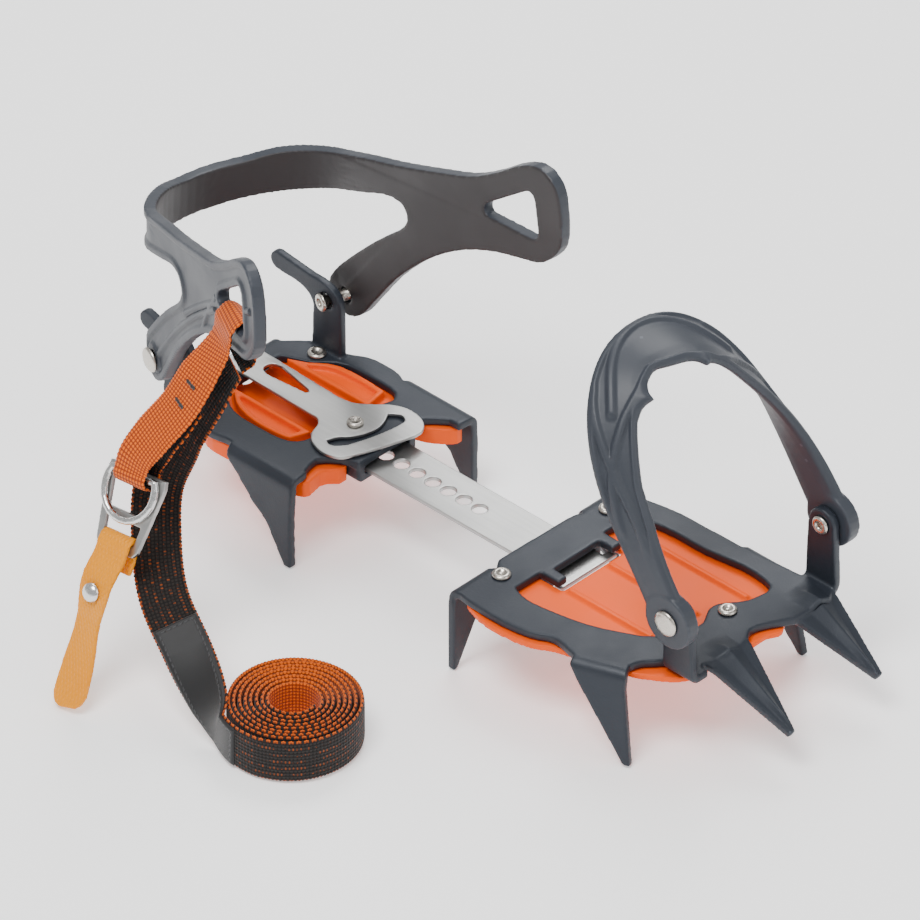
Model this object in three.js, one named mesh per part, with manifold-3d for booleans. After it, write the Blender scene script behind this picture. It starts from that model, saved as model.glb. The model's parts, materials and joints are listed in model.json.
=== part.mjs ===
// A ten-point strap-on crampon for one right boot: toe section, linking bar, heel section,
// moulded toe bail and heel cradle, and the webbing strap with its buckle and pull tab.
// Millimetres. X runs from heel to toe, Y to the wearer's left, Z up. The point tips stand on z = 0.
import * as THREE from 'three';
import { mergeVertices } from 'three/addons/utils/BufferGeometryUtils.js';
import Module from 'manifold-3d';

const wasm = await Module();
wasm.setup();

// ---------------------------------------------------------------- driving dimensions
const gap = 0.3;                 // clearance between pieces that touch
const steel = 3;                 // pressed plate
const plateTop = 33;             // where the boot sole rests
const plateUnder = plateTop - steel;
const bendRadius = 4;            // outside radius of the folded points and ears

const bar = { width: 20, thick: 1.6, top: 28.8, rear: -26, front: 95, holeRadius: 2.7 };
const pinX = -12.6;              // locking pin of the length adjustment
const holePitch = 7.2;           // one step of boot length
const holeCount = 10;            // the first hole lies one step behind the pin
const guideHalf = bar.width / 2 + 0.6;

const toePivot = { x: 157, z: 56 };
const toeEarNear = -22.5;        // middle planes of the two toe ears
const toeEarFar = 46.3;

const heelTurn = THREE.MathUtils.degToRad(-16.2);   // the heel hinge line is skewed to the bar
const heelPivot = new THREE.Vector3(-57.9, -1.6, 53.5);
const cradleHalf = 36.6;          // half width of the cradle at its pivots
const cradleFlare = 0.19;        // how fast its arms spread towards the front
const cradleBack = 30;           // how far its band passes behind the pivots
const cradleThick = 4.4;
const heelEarHalf = 28.6;        // from the middle of the hinge line to each ear

const webbing = { width: 17, thick: 1.5 };
const rollCentre = new THREE.Vector3(61.6, -105.1, 0);
const rollOuter = 22.6;
const rollInner = 6.6;

// ---------------------------------------------------------------- colours
const finish = (color, roughness, metalness) => new THREE.MeshStandardMaterial({ color, roughness, metalness });
const paint = finish(0x3f454e, 0.5, 0.4);
const stainless = finish(0xb9b8b4, 0.35, 0.9);
const rivetSteel = finish(0xa9a49c, 0.3, 0.9);
const greyPlastic = finish(0x474c54, 0.55, 0);
const orangePlastic = finish(0xff5a00, 0.45, 0);
const blackWebbing = finish(0x1d1a19, 0.9, 0);
const orangeWebbing = finish(0xf07a1c, 0.9, 0);
const labelCloth = finish(0x17181a, 0.8, 0);
const tabPlastic = finish(0xffa300, 0.35, 0);

// ---------------------------------------------------------------- geometry helpers
const vec = (x, y, z) => new THREE.Vector3(x, y, z);

function toSolid(geometry) {
  const bare = geometry.clone();
  bare.deleteAttribute('normal');
  bare.deleteAttribute('uv');
  const merged = mergeVertices(bare, 1e-3);
  return new wasm.Manifold(new wasm.Mesh({
    numProp: 3,
    vertProperties: merged.attributes.position.array,
    triVerts: new Uint32Array(merged.index.array),
  }));
}

function toGeometry(solid) {
  const mesh = solid.getMesh();
  const geometry = new THREE.BufferGeometry();
  geometry.setAttribute('position', new THREE.BufferAttribute(mesh.vertProperties, 3));
  geometry.setIndex(new THREE.BufferAttribute(mesh.triVerts, 1));
  return geometry;
}

const join = (geometries) => geometries.map(toSolid).reduce((all, next) => all.add(next));
const cut = (solid, geometries) => geometries.map(toSolid).reduce((all, next) => all.subtract(next), solid);

// A closed body through rings of equal point count, with flat ends unless it closes on itself.
function loft(rings, closed = false) {
  const size = rings[0].length;
  const positions = rings.flat().flatMap((p) => [p.x, p.y, p.z]);
  const index = [];
  const spans = closed ? rings.length : rings.length - 1;
  for (let i = 0; i < spans; i += 1) {
    const next = (i + 1) % rings.length;
    for (let j = 0; j < size; j += 1) {
      const k = (j + 1) % size;
      index.push(i * size + j, i * size + k, next * size + k);
      index.push(i * size + j, next * size + k, next * size + j);
    }
  }
  if (!closed) {
    const last = (rings.length - 1) * size;
    for (let j = 1; j < size - 1; j += 1) {
      index.push(0, j + 1, j);
      index.push(last, last + j, last + j + 1);
    }
  }
  const geometry = new THREE.BufferGeometry();
  geometry.setAttribute('position', new THREE.Float32BufferAttribute(positions, 3));
  geometry.setIndex(index);
  return geometry;
}

// A ring of points round a flat section: `power` 1 is an ellipse, smaller is squarer.
function section(at, wide, thick, width, thickness, sides, power) {
  const ring = [];
  const squash = (v) => Math.sign(v) * Math.abs(v) ** power;
  for (let i = 0; i < sides; i += 1) {
    const a = ((i + 0.5) / sides) * Math.PI * 2;
    ring.push(at.clone()
      .addScaledVector(wide, squash(Math.cos(a)) * width / 2)
      .addScaledVector(thick, squash(Math.sin(a)) * thickness / 2));
  }
  return ring;
}

// A flat strip along a curve. Each stop has a place, the direction of its width, and a width.
// `part` takes a stretch of it, and `offset` moves the strip off the curve, to lie on another one.
function ribbon(stops, thickness, samples, { part = [0, 1], offset = 0, narrower = 0, sides = 4, power = 0 } = {}) {
  const curve = new THREE.CatmullRomCurve3(stops.map((stop) => stop.at), false, 'centripetal');
  const rings = [];
  for (let i = 0; i <= samples; i += 1) {
    const t = THREE.MathUtils.lerp(part[0], part[1], i / samples);
    const place = t * (stops.length - 1);
    const from = Math.min(Math.floor(place), stops.length - 2);
    const tangent = curve.getTangent(t);
    const wide = stops[from].wide.clone().lerp(stops[from + 1].wide, place - from);
    wide.addScaledVector(tangent, -wide.dot(tangent)).normalize();
    const normal = new THREE.Vector3().crossVectors(tangent, wide);
    const width = THREE.MathUtils.lerp(stops[from].width, stops[from + 1].width, place - from) - narrower;
    rings.push(section(curve.getPoint(t).addScaledVector(normal, offset), wide, normal, width, thickness, sides, power));
  }
  return loft(rings);
}

// A plate outline: straight runs and smooth runs, given as points in order.
function outline(runs) {
  const path = new THREE.Shape();
  path.moveTo(...runs[0][0]);
  runs.forEach((run, i) => {
    const rest = i === 0 ? run.slice(1) : run;
    if (run.smooth) path.splineThru(rest.map(([x, y]) => new THREE.Vector2(x, y)));
    else rest.forEach(([x, y]) => path.lineTo(x, y));
  });
  return path;
}
const smooth = (points) => Object.assign(points, { smooth: true });

const slab = (shape, bottom, height, segments = 2) => new THREE.ExtrudeGeometry(
  shape, { depth: height, bevelEnabled: false, curveSegments: segments }).translate(0, 0, bottom);

function drill(x, y, radius, bottom = -5, top = 120, sides = 14) {
  return new THREE.CylinderGeometry(radius, radius, top - bottom, sides)
    .rotateX(Math.PI / 2).translate(x, y, (top + bottom) / 2);
}

// A tab folded out of the plate: each row is [distance from the fold, left edge, right edge].
function foldedTab({ start, along, outward, turn, radius = bendRadius, up = false, rows }) {
  const sign = up ? 1 : -1;
  const bendLength = radius * turn;
  const bendSteps = Math.max(3, Math.round(turn / 0.3));
  const stops = rows.map((row) => row[0]);
  for (let i = 0; i <= bendSteps; i += 1) stops.push((i / bendSteps) * bendLength);
  const distances = [...new Set(stops.filter((s) => s <= stops[rows.length - 1]))].sort((a, b) => a - b);
  const edgeAt = (s, side) => {
    let i = 0;
    while (i < rows.length - 2 && rows[i + 1][0] < s) i += 1;
    const mix = THREE.MathUtils.clamp((s - rows[i][0]) / (rows[i + 1][0] - rows[i][0]), 0, 1);
    return THREE.MathUtils.lerp(rows[i][side], rows[i + 1][side], mix);
  };
  const across = vec(...along).normalize();
  const out = vec(...outward).normalize();
  const rings = distances.map((s) => {
    const phi = THREE.MathUtils.clamp(s / radius, 0, turn);
    const past = Math.max(0, s - bendLength);
    const reach = s < 0 ? s : radius * Math.sin(phi) + past * Math.cos(turn);
    const drop = radius * (1 - Math.cos(phi)) + past * Math.sin(turn);
    const face = vec(...start).addScaledVector(out, reach).add(vec(0, 0, sign * drop));
    const normal = out.clone().multiplyScalar(Math.sin(phi)).add(vec(0, 0, -sign * Math.cos(phi)));
    const back = face.clone().addScaledVector(normal, -steel);
    const left = edgeAt(s, 1);
    const right = edgeAt(s, 2);
    return [
      face.clone().addScaledVector(across, left), face.clone().addScaledVector(across, right),
      back.clone().addScaledVector(across, right), back.clone().addScaledVector(across, left),
    ];
  });
  const inverted = new THREE.Vector3().crossVectors(across, out).z * sign > 0;
  return loft(inverted ? rings.map((ring) => [...ring].reverse()) : rings);
}

// An upright ear seen from the side, standing in an XZ plane.
function ear(shape, middleY) {
  const body = new THREE.ExtrudeGeometry(shape, { depth: steel, bevelEnabled: false, curveSegments: 6 });
  return body.rotateX(-Math.PI / 2).translate(0, middleY - steel / 2, 0);
}

// A turned fastener along Z, from its own profile of [radius, height] points.
function turned(profile, sides = 14) {
  return new THREE.LatheGeometry(profile.map(([r, z]) => new THREE.Vector2(r, z)), sides).rotateX(Math.PI / 2);
}

const object = new THREE.Group();
object.position.set(-50.65, 17.07, 0);   // puts the origin under the middle of the steel and plastic pieces
function add(name, geometry, material, parent = object) {
  const mesh = new THREE.Mesh(geometry, material);
  mesh.name = name;
  parent.add(mesh);
  return mesh;
}

// ---------------------------------------------------------------- shared small parts
// Plate rivet: domed head above, shank through plate and anti-balling plate, set head below.
const plateRivetHole = 2.1;
function plateRivet(under) {
  const top = plateTop + gap;
  const low = under - gap;
  return turned([[0, low - 1], [2.9, low - 1], [3.1, low - 0.3], [3.1, low], [1.7, low],
    [1.7, top], [3.2, top], [3, top + 0.6], [2, top + 1.1], [0, top + 1.2]]);
}

// The lugs under a plate that keep the bar from sliding sideways or dropping.
function barGuide(rear, length, footTop) {
  const guide = new THREE.Shape();
  const wall = steel;
  guide.moveTo(guideHalf, plateUnder + 1);
  guide.lineTo(guideHalf, footTop);
  guide.lineTo(guideHalf - 4, footTop);
  guide.lineTo(guideHalf - 4, footTop - 2.4);
  guide.lineTo(guideHalf + wall - 1, footTop - 2.4);
  guide.lineTo(guideHalf + wall, footTop - 1.4);
  guide.lineTo(guideHalf + wall, plateUnder + 1);
  const left = new THREE.ExtrudeGeometry(guide, { depth: length, bevelEnabled: false })
    .rotateX(Math.PI / 2).rotateZ(Math.PI / 2).translate(rear, 0, 0);
  const right = left.clone().scale(1, -1, 1);
  return [left, flip(right)];
}

function flip(geometry) {
  const mirrored = mergeVertices(strip(geometry), 1e-3);
  const index = mirrored.index.array;
  for (let i = 0; i < index.length; i += 3) [index[i], index[i + 1]] = [index[i + 1], index[i]];
  return mirrored;
}

function strip(geometry) {
  const bare = geometry.clone();
  bare.deleteAttribute('normal');
  bare.deleteAttribute('uv');
  return bare;
}

// ---------------------------------------------------------------- toe section
const toeOutline = outline([
  smooth([[75.5, -42], [81, -42.9], [96, -43.2], [107.5, -41.4], [114.2, -38.2], [119.5, -38.6]]),
  [[126, -40.2], [143, -33]],
  smooth([[144.5, -28], [148, -24], [152, -18.5]]),
  [[160, -18.5]],
  smooth([[160.5, -12], [163, -4], [160.5, 6], [158.6, 9], [159.2, 13.5], [162, 19], [165, 24]]),
  [[166, 40]],
  smooth([[163, 43], [156, 43]]),
  [[148, 43], [126, 41]],
  smooth([[118, 41], [110, 40.8], [97, 40.4], [84, 38], [78, 36.5]]),
  [[75.5, 36], [75.5, 18]],
  smooth([[73.5, 15], [73, 0], [72.6, -20]]),
  [[75.5, -24]],
]);
const toeOpening = outline([
  [[87.4, -15.2], [87.2, -27]],
  smooth([[94.8, -29], [106.5, -27.6], [120, -24.4], [135, -17.3]]),
  smooth([[143, -9], [144.6, 1], [141, 8], [141.4, 13.4], [146.5, 20], [148.2, 28]]),
  smooth([[146, 32], [134, 33.6], [118, 31.5], [103, 31.3], [94.6, 30], [88, 27]]),
  [[87.4, 15.2], [95.5, 15.2], [95.5, 10.8], [89.3, 10.8], [89.3, -10.8], [95.5, -10.8], [95.5, -15.2]],
]);
const toeRivets = { near_rear: [79.6, -25.7], far_rear: [80, 25], front: [146.4, 11.6] };

const toeEarShape = new THREE.Shape();
toeEarShape.moveTo(150.2, -(plateUnder + 4));
toeEarShape.lineTo(150.8, -toePivot.z + 1);
toeEarShape.absarc(toePivot.x, -toePivot.z, 5.8, Math.PI - 0.2, Math.PI * 2 + 0.2, false);
toeEarShape.lineTo(163.6, -(plateUnder + 4));

function toePlate() {
  const body = join([
    slab(toeOutline, plateUnder, steel),
    // rear pair, folded down across the plate
    foldedTab({ start: [75.5, 0, plateTop], along: [0, 1, 0], outward: [-1, 0, 0], turn: Math.PI / 2,
      rows: [[-4, -42, -24], [0, -42.4, -24], [6, -42.6, -25.2], [9, -42.8, -26.4], [35.28, -42.8, -41]] }),
    foldedTab({ start: [75.5, 0, plateTop], along: [0, 1, 0], outward: [-1, 0, 0], turn: Math.PI / 2,
      rows: [[-4, 18, 36.4], [0, 18, 36.6], [6, 19.2, 36.8], [9, 20.4, 37], [35.28, 35.2, 37]] }),
    // middle pair, folded down along the edges
    foldedTab({ start: [126, -40, plateTop], along: [18.5, 7, 0], outward: [7, -18.5, 0], turn: 1.36,
      rows: [[-5, 1.5, 18], [0, 0, 19.3], [4, -0.4, 19.6], [9, 2.6, 19.6], [35.3, 21.5, 24]] }),
    foldedTab({ start: [126, 40.4, plateTop], along: [1, 0, 0], outward: [0, 1, 0], turn: 1.54,
      rows: [[-4, 1, 20.5], [0, 0, 21], [4, 0, 21], [9, 2.4, 21.4], [35.2, 23.8, 26.2]] }),
    // front pair, angled down and forward
    foldedTab({ start: [158, 0, plateTop], along: [0, 1, 0], outward: [1, 0, 0], turn: 0.52, radius: 14,
      rows: [[-6, -15, 5], [0, -14.8, 6], [4, -13.6, 5.6], [37.6, -6.1, -3.7]] }),
    foldedTab({ start: [159, 0, plateTop], along: [0, 1, 0], outward: [1, 0, 0], turn: 0.52, radius: 14,
      rows: [[-6, 24, 42], [0, 23.4, 45.4], [4, 24.4, 45], [36.6, 35.8, 38.4]] }),
    // ears of the toe bail
    foldedTab({ start: [157, toeEarNear + 2.5, plateUnder], along: [1, 0, 0], outward: [0, -1, 0],
      turn: Math.PI / 2, up: true, rows: [[-4, -6.8, 6.6], [0, -6.8, 6.6], [9, -6.8, 6.6]] }),
    foldedTab({ start: [157, toeEarFar - 2.5, plateUnder], along: [1, 0, 0], outward: [0, 1, 0],
      turn: Math.PI / 2, up: true, rows: [[-4, -6.8, 6.6], [0, -6.8, 6.6], [9, -6.8, 6.6]] }),
    ear(toeEarShape, toeEarNear), ear(toeEarShape, toeEarFar),
    ...barGuide(75.8, 12, bar.top - bar.thick - 1),
  ]);
  const pivotBore = new THREE.CylinderGeometry(2.6, 2.6, 100, 20).translate(toePivot.x, 10, toePivot.z);
  const holes = Object.values(toeRivets).map(([x, y]) => drill(x, y, plateRivetHole, 20, 40));
  return toGeometry(cut(body, [slab(toeOpening, 20, 20), pivotBore, ...holes]));
}
add('front_plate', toePlate(), paint);

// Orange anti-balling plate under the steel, peeping past its edges.
const ballThick = 2.2;
const ballTop = plateUnder - gap;
const toeBallOutline = outline([
  smooth([[79, -41.5], [88, -44.4], [98, -44.6], [108.5, -43], [115, -39.4], [121, -37.5]]),
  smooth([[130, -34], [142, -31.8], [150, -27.5], [157, -22], [159.6, -15]]),
  [[159.6, 5.5]],
  smooth([[161.4, 8.5], [161.4, 14], [163.6, 19], [160.6, 24]]),
  [[160.4, 36]],
  smooth([[156, 38], [147, 38.6], [130, 38], [118, 39.4], [104, 40.6], [90, 39]]),
  [[79, 34], [79, 14.6], [97, 14.6], [97, -14.6], [79, -14.6]],
]);
function toeBallPlate() {
  const rib = (y, from, to) => new THREE.BoxGeometry(to - from, 1.8, 1.6)
    .translate((from + to) / 2, y, ballTop + 0.5);
  const body = join([
    slab(toeBallOutline, ballTop - ballThick, ballThick),
    rib(-13.4, 99, 136), rib(6, 99, 138), rib(24, 99, 144),
  ]);
  const holes = Object.values(toeRivets).map(([x, y]) => drill(x, y, plateRivetHole, 20, 40));
  return toGeometry(cut(body, holes));
}
add('front_antiball_plate', toeBallPlate(), orangePlastic);
Object.entries(toeRivets).forEach(([name, [x, y]]) => {
  add(`front_plate_rivet_${name}`, plateRivet(ballTop - ballThick).translate(x, y, 0), rivetSteel);
});

// ---------------------------------------------------------------- toe bail and its pivots
const bailTilt = THREE.MathUtils.degToRad(33);
const bailThick = 5;
const bailNear = toeEarNear - steel / 2 - gap - bailThick / 2;
const bailFar = toeEarFar + steel / 2 + gap + bailThick / 2;
const bailHeight = 82;

// how far the inner edge stands out from an even width, by degrees round the arch: slim near arm,
// two small lace hooks, and a broader crown towards the far side
const bailInnerEdge = [[0, 0], [20, -2.5], [30, -4.6], [50, -5], [56, -3.6], [60, -0.2], [63, -2.6], [68, -3.8],
  [76, -3.6], [84, 0], [92, 2.2], [99, 4.4], [103, 7.2], [107, 5.6], [113, 4.8], [124, 4], [132, 3.2],
  [142, 1.8], [156, 0], [180, 0]];
function innerEdgeAt(degrees) {
  const next = Math.max(1, bailInnerEdge.findIndex(([at]) => at >= degrees - 1e-9));
  const [[from, low], [to, high]] = [bailInnerEdge[next - 1], bailInnerEdge[next]];
  return THREE.MathUtils.lerp(low, high, (degrees - from) / (to - from));
}

function toeBail() {
  const middle = (bailNear + bailFar) / 2;
  const half = (bailFar - bailNear) / 2;
  const rise = vec(-Math.sin(bailTilt), 0, Math.cos(bailTilt));
  const facing = vec(Math.cos(bailTilt), 0, Math.sin(bailTilt));
  const round = 2 / 2.3;
  const place = (a) => {
    const side = -Math.sign(Math.cos(a)) * Math.abs(Math.cos(a)) ** round * half;
    return vec(toePivot.x, middle + side, toePivot.z).addScaledVector(rise, Math.sin(a) ** round * bailHeight);
  };
  const steps = 72;
  const rings = [];
  for (let i = 0; i <= steps; i += 1) {
    const a = THREE.MathUtils.lerp(0.0, Math.PI, i / steps);
    const tangent = place(Math.min(Math.PI, a + 0.01)).sub(place(Math.max(0, a - 0.01))).normalize();
    const inward = new THREE.Vector3().crossVectors(facing, tangent).normalize().negate();
    const up = Math.sin(a);
    const lean = THREE.MathUtils.lerp(Math.PI / 2, 0.86, THREE.MathUtils.smoothstep(up, 0.05, 0.75));
    const wide = inward.clone().multiplyScalar(Math.cos(lean)).addScaledVector(facing, Math.sin(lean));
    const thick = new THREE.Vector3().crossVectors(tangent, wide).normalize();
    const extra = innerEdgeAt(THREE.MathUtils.radToDeg(a));
    const width = THREE.MathUtils.lerp(17, 22.5, THREE.MathUtils.smoothstep(up, 0.1, 0.9)) + extra;
    rings.push(section(place(a).addScaledVector(wide, extra / 2), wide, thick, width, bailThick, 12, 0.7));
  }
  const disc = (y) => new THREE.CylinderGeometry(9.8, 9.8, bailThick, 24).translate(toePivot.x, y, toePivot.z);
  const body = join([loft(rings), disc(bailNear), disc(bailFar)]);
  const bore = new THREE.CylinderGeometry(2.9, 2.9, 120, 20).translate(toePivot.x, 10, toePivot.z);
  return toGeometry(cut(body, [bore]));
}
add('toe_bail', toeBail(), greyPlastic);

// Pivot rivet: a flat head outside the arm, a shank through arm and ear, a set collar inside the ear.
function pivotRivet(armOuter, earInner, headRadius) {
  const reach = Math.abs(armOuter - earInner);
  const eye = 1.3;
  const start = -gap;
  const end = reach + gap;
  return turned([[eye, start - 1.2], [headRadius - 0.6, start - 1.2], [headRadius, start - 0.6], [headRadius, start],
    [2.2, start], [2.2, end], [3.3, end], [3.3, end + 0.6], [2.6, end + 1.1], [eye, end + 1.1], [eye, start - 1.2]]);
}
const solidHead = (radius, height) => turned([[0, 0], [radius, 0], [radius, height], [0, height]]);
function toePivotRivet(side, armY, earY) {
  const outward = side;
  const armOuter = armY + outward * bailThick / 2;
  const earInner = earY - outward * steel / 2;
  const body = pivotRivet(armOuter, earInner, 4.6);
  // the profile's axis runs from the head inwards
  body.rotateX(outward > 0 ? Math.PI / 2 : -Math.PI / 2);
  return body.translate(toePivot.x, armOuter, toePivot.z);
}
add('toe_bail_rivet_near', toGeometry(join([toePivotRivet(-1, bailNear, toeEarNear),
  solidHead(2, 1.6).rotateX(-Math.PI / 2).translate(toePivot.x, bailNear - bailThick / 2 - 1.5 + 0.1, toePivot.z)])),
  rivetSteel);
add('toe_bail_rivet_far', toePivotRivet(1, bailFar, toeEarFar), rivetSteel);

// ---------------------------------------------------------------- linking bar
function linkBar() {
  const half = bar.width / 2;
  const profile = new THREE.Shape();
  profile.moveTo(bar.rear + 4, -half);
  profile.lineTo(bar.front, -half);
  profile.lineTo(bar.front, half);
  profile.lineTo(bar.rear + 4, half);
  profile.quadraticCurveTo(bar.rear, half, bar.rear, half - 4);
  profile.lineTo(bar.rear, -half + 4);
  profile.quadraticCurveTo(bar.rear, -half, bar.rear + 4, -half);
  const stop = new THREE.BoxGeometry(3, bar.width + 7, bar.thick)
    .translate(bar.front - 1.5, 0, bar.top - bar.thick / 2);
  const body = join([slab(profile, bar.top - bar.thick, bar.thick), stop]);
  const holes = [];
  for (let i = 0; i < holeCount; i += 1) {
    holes.push(drill(pinX + (i - 1) * holePitch, 0, bar.holeRadius, 20, 40, 24));
  }
  return toGeometry(cut(body, holes));
}
add('link_bar', linkBar(), stainless);

// ---------------------------------------------------------------- heel section
const heelOutline = outline([
  [[-73, -9], [-73, -22]],
  smooth([[-72, -25], [-66, -27], [-58, -28.5], [-54, -33.4], [-47, -35.4], [-40, -34.2]]),
  [[-36.5, -34], [-8.5, -34]],
  smooth([[-7.5, -30], [-9.6, -21.5], [-4.4, -16.2], [-1, -14.5]]),
  [[2.5, -13.6], [2.5, 13.6]],
  smooth([[0, 16], [1, 20], [8.5, 26.5], [11.5, 30]]),
  [[-18.5, 30]],
  smooth([[-25, 32.6], [-36, 32.4], [-42, 29.5]]),
  smooth([[-49, 26.8], [-56, 26.8], [-60.5, 23.4], [-66, 18]]),
  [[-66, 6]],
  smooth([[-70, 4], [-74, -4]]),
]);
const heelOpening = outline([
  [[-59.6, 12], [-59.7, -12]],
  smooth([[-53, -19], [-46, -21.6], [-38, -22], [-28, -21.6]]),
  smooth([[-22.5, -19.8], [-19.4, -14], [-18.4, 2], [-16.6, 12], [-14.5, 20]]),
  smooth([[-18, 23.8], [-30, 24.2], [-41.4, 23.1], [-49, 16.6]]),
]);
const heelRivets = { far: [-51, 20.9], near: [-63, -20.4] };
const leafRivetX = -66.5;
const pinHoleRadius = 2.6;

const hingeLine = vec(-Math.sin(heelTurn), Math.cos(heelTurn), 0);
const alongHinge = (offset) => heelPivot.clone().addScaledVector(hingeLine, offset);
const heelEarPlaces = { near: alongHinge(-heelEarHalf), far: alongHinge(heelEarHalf) };

// the near lobe is shorter, so that the skewed cradle arm can pass it
const lobeReach = { near: 14.2, far: 22.8 };
function heelEarShape(x, z, reach) {
  const shape = new THREE.Shape();
  shape.moveTo(x - 7, -(plateUnder + 4));
  shape.lineTo(x - 6.4, -(z - 4));
  // the thumb lobe that the wearer's boot heel sits against
  shape.quadraticCurveTo(x - 7.5, -(z + 0.5), x - 14, -(z + 1.5));
  shape.lineTo(x - reach, -(z + 2));
  shape.absarc(x - reach, -(z + 5.6), 3.6, Math.PI / 2, Math.PI * 1.5, false);
  shape.lineTo(x - 8, -(z + 7.4));
  shape.quadraticCurveTo(x + 6.6, -(z + 8), x + 6.6, -(z - 1));
  shape.lineTo(x + 6.8, -(plateUnder + 4));
  return shape;
}

function heelPlate() {
  const ears = Object.entries(heelEarPlaces).flatMap(([side, place]) => {
    const outward = side === 'far' ? 1 : -1;
    return [
      foldedTab({ start: [place.x, place.y - outward * 2.5, plateUnder], along: [1, 0, 0], outward: [0, outward, 0],
        turn: Math.PI / 2, up: true, rows: [[-5, -7, 6.8], [0, -7, 6.8], [9, -7, 6.8]] }),
      ear(heelEarShape(place.x, place.z, lobeReach[side]), place.y),
    ];
  });
  const body = join([
    slab(heelOutline, plateUnder, steel),
    // front pair, on wide side flanges
    foldedTab({ start: [0, -34, plateTop], along: [1, 0, 0], outward: [0, -1, 0], turn: 1.48,
      rows: [[-5, -36, -6.6], [0, -37, -6.2], [6, -36, -5.6], [12, -29, -5.4], [18, -22.6, -5.2],
        [22, -16.4, -5], [35.1, -7, -3.6]] }),
    foldedTab({ start: [0, 30, plateTop], along: [1, 0, 0], outward: [0, 1, 0], turn: 1.54,
      rows: [[-5, -18, 11.4], [0, -19.5, 11.8], [6, -18.5, 11.8], [12, -12, 11.8], [18, -5.6, 11.6],
        [22, 0.6, 11.4], [35.2, 8, 11]] }),
    // rear pair, folded down across the heel
    foldedTab({ start: [-73, 0, plateTop], along: [0, 1, 0], outward: [-1, 0, 0], turn: Math.PI / 2,
      rows: [[-4, -21.5, -9], [0, -21.6, -8.6], [8, -21.4, -9.4], [35.28, -19.6, -17.6]] }),
    foldedTab({ start: [-66, 0, plateTop], along: [0, 1, 0], outward: [-1, 0, 0], turn: Math.PI / 2,
      rows: [[-4, 6.4, 18], [0, 6, 18.4], [8, 6.8, 18.2], [35.28, 14.6, 16.6]] }),
    ...ears,
    ...barGuide(-7.6, 10, bar.top - bar.thick - 0.5),
  ]);
  const hinge = new THREE.CylinderGeometry(2.9, 2.9, 100, 20).rotateZ(heelTurn)
    .translate(heelPivot.x, heelPivot.y, heelPivot.z);
  const holes = Object.values(heelRivets).map(([x, y]) => drill(x, y, plateRivetHole, 20, 40));
  return toGeometry(cut(body, [slab(heelOpening, 20, 20), hinge, ...holes,
    drill(leafRivetX, 1, plateRivetHole, 20, 40), drill(pinX, 0, pinHoleRadius, 20, 40)]));
}
const heel = new THREE.Group();
object.add(heel);
add('rear_plate', heelPlate(), paint, heel);

// Orange anti-balling plate with a tunnel for the bar and two pads that fill the opening.
const heelBallOutline = outline([
  smooth([[-71.6, -20], [-66, -25], [-56, -30], [-48, -33.6], [-40, -33.6]]),
  [[-36, -32.6], [-10, -32.6]],
  smooth([[-5.5, -30], [-6.6, -22], [-2.8, -17.4]]),
  [[-2.8, 17.6]],
  smooth([[3, 20], [9, 25], [9.6, 28.6]]),
  [[-20, 28.6]],
  smooth([[-34, 30.6], [-44, 27.2], [-56, 25.4], [-64, 18]]),
  [[-64, 7], [-71.6, -7]],
]);
const padOutline = (points) => outline([smooth(points)]);
function heelBallPlate() {
  const tunnelTop = ballTop + 0.2;
  const low = 23.4;
  const floor = slab(heelBallOutline, low, 2);
  const skirt = slab(heelBallOutline, low + 1, ballTop - low - 1);
  const pads = [
    slab(outline([[[-57.6, -12], [-48, -12], [-21.6, -12], [-24.6, -19.4]],
      smooth([[-30, -20.4], [-40, -20.6], [-50, -18.2], [-57.6, -12.4]])]), ballTop - 1, plateTop - ballTop + 1),
    slab(outline([[[-57.4, 12], [-50, 15.6]],
      smooth([[-42, 21.2], [-30, 22.2], [-20, 21.6]]), [[-18.4, 12]]]), ballTop - 1, plateTop - ballTop + 1),
  ];
  const hollows = [
    slab(outline([[[-54, -13.6], [-48, -13.6], [-24.4, -13.6], [-26, -17.8]],
      smooth([[-32, -18.6], [-40, -18.8], [-48, -16.8], [-54, -13.8]])]), plateTop - 2.2, 6),
    slab(outline([[[-54, 13.8], [-49, 14.6]],
      smooth([[-42, 19.2], [-30, 20.2], [-21.6, 19.8]]), [[-20.6, 13.8]]]), plateTop - 2.2, 6),
  ];
  const body = join([floor, skirt, ...pads]);
  const tunnel = new THREE.BoxGeometry(66, bar.width + 1.6, tunnelTop - 26)
    .translate(-31, 0, (tunnelTop + 26) / 2);
  const slot = new THREE.BoxGeometry(48, bar.width - 2, 20).translate(-22.2, 0, 36);
  const guideRoom = new THREE.BoxGeometry(20, 2 * (guideHalf + steel + gap), 20).translate(1.6, 0, 26);
  const holes = Object.values(heelRivets).map(([x, y]) => drill(x, y, plateRivetHole, 20, 40));
  return toGeometry(cut(body, [tunnel, slot, guideRoom, ...hollows, ...holes,
    drill(leafRivetX, 1, 3.8, 20, 40), drill(pinX, 0, pinHoleRadius + 0.6, 20, 40)]));
}
add('rear_antiball_plate', heelBallPlate(), orangePlastic, heel);
Object.entries(heelRivets).forEach(([name, [x, y]]) => {
  add(`rear_plate_rivet_${name}`, plateRivet(23.4).translate(x, y, 0), rivetSteel, heel);
});

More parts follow.
